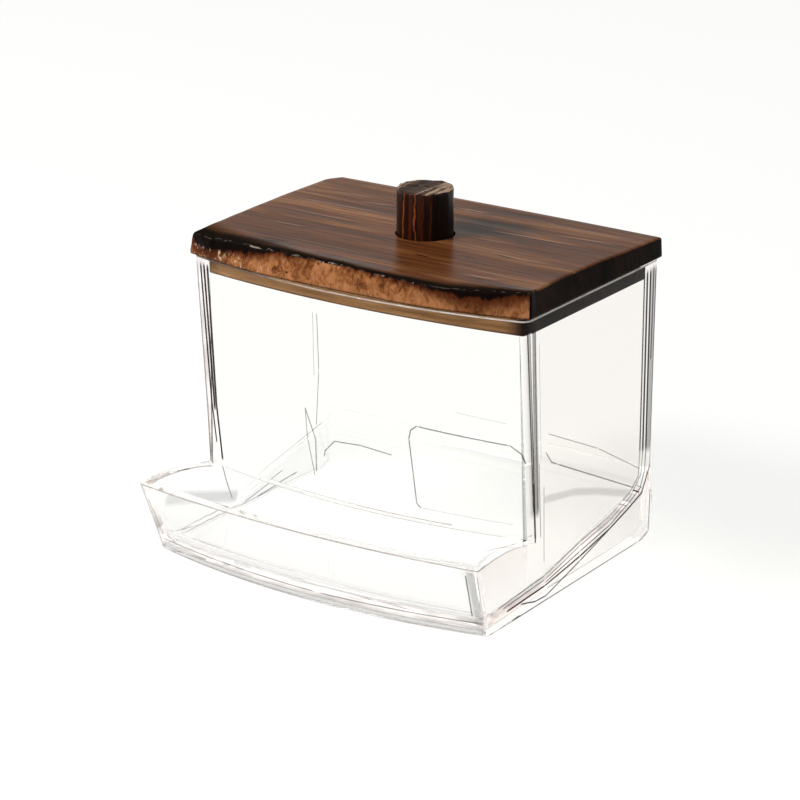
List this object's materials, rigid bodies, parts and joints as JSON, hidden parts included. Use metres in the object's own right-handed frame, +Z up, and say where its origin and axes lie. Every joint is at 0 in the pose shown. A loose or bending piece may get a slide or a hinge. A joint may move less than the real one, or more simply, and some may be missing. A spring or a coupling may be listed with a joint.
{
  "type": "cotton swab dispenser",
  "caption": "Clear box with a lift-off wooden lid; swabs roll down a sloping floor, under the bowed front wall and into an open serving tray.",
  "frame": {"origin": "on the table, under the middle of the whole object's outline", "axes": "+X to the right along the width, -Y towards the serving tray at the front, +Z up"},
  "size_m": [0.0924, 0.082, 0.0843],
  "materials": {
    "clear_acrylic": "clear, polished, moulded",
    "walnut_board": "dark stained and lacquered, with a rough scorched front edge",
    "pale_walnut": "satin, tan brown",
    "streaked_walnut": "lacquered, dark with reddish upright streaks"
  },
  "bodies": {
    "dispenser": {"clear_body": "clear_acrylic"},
    "lid": {"lid_board": "walnut_board", "lid_plug": "pale_walnut", "lid_knob": "streaked_walnut"}
  },
  "joints": [
    {"name": "lid_lift", "type": "slide", "parent": "dispenser", "child": "lid", "axis": [0, 0, 1], "range_m": [0, 0.05]}
  ]
}
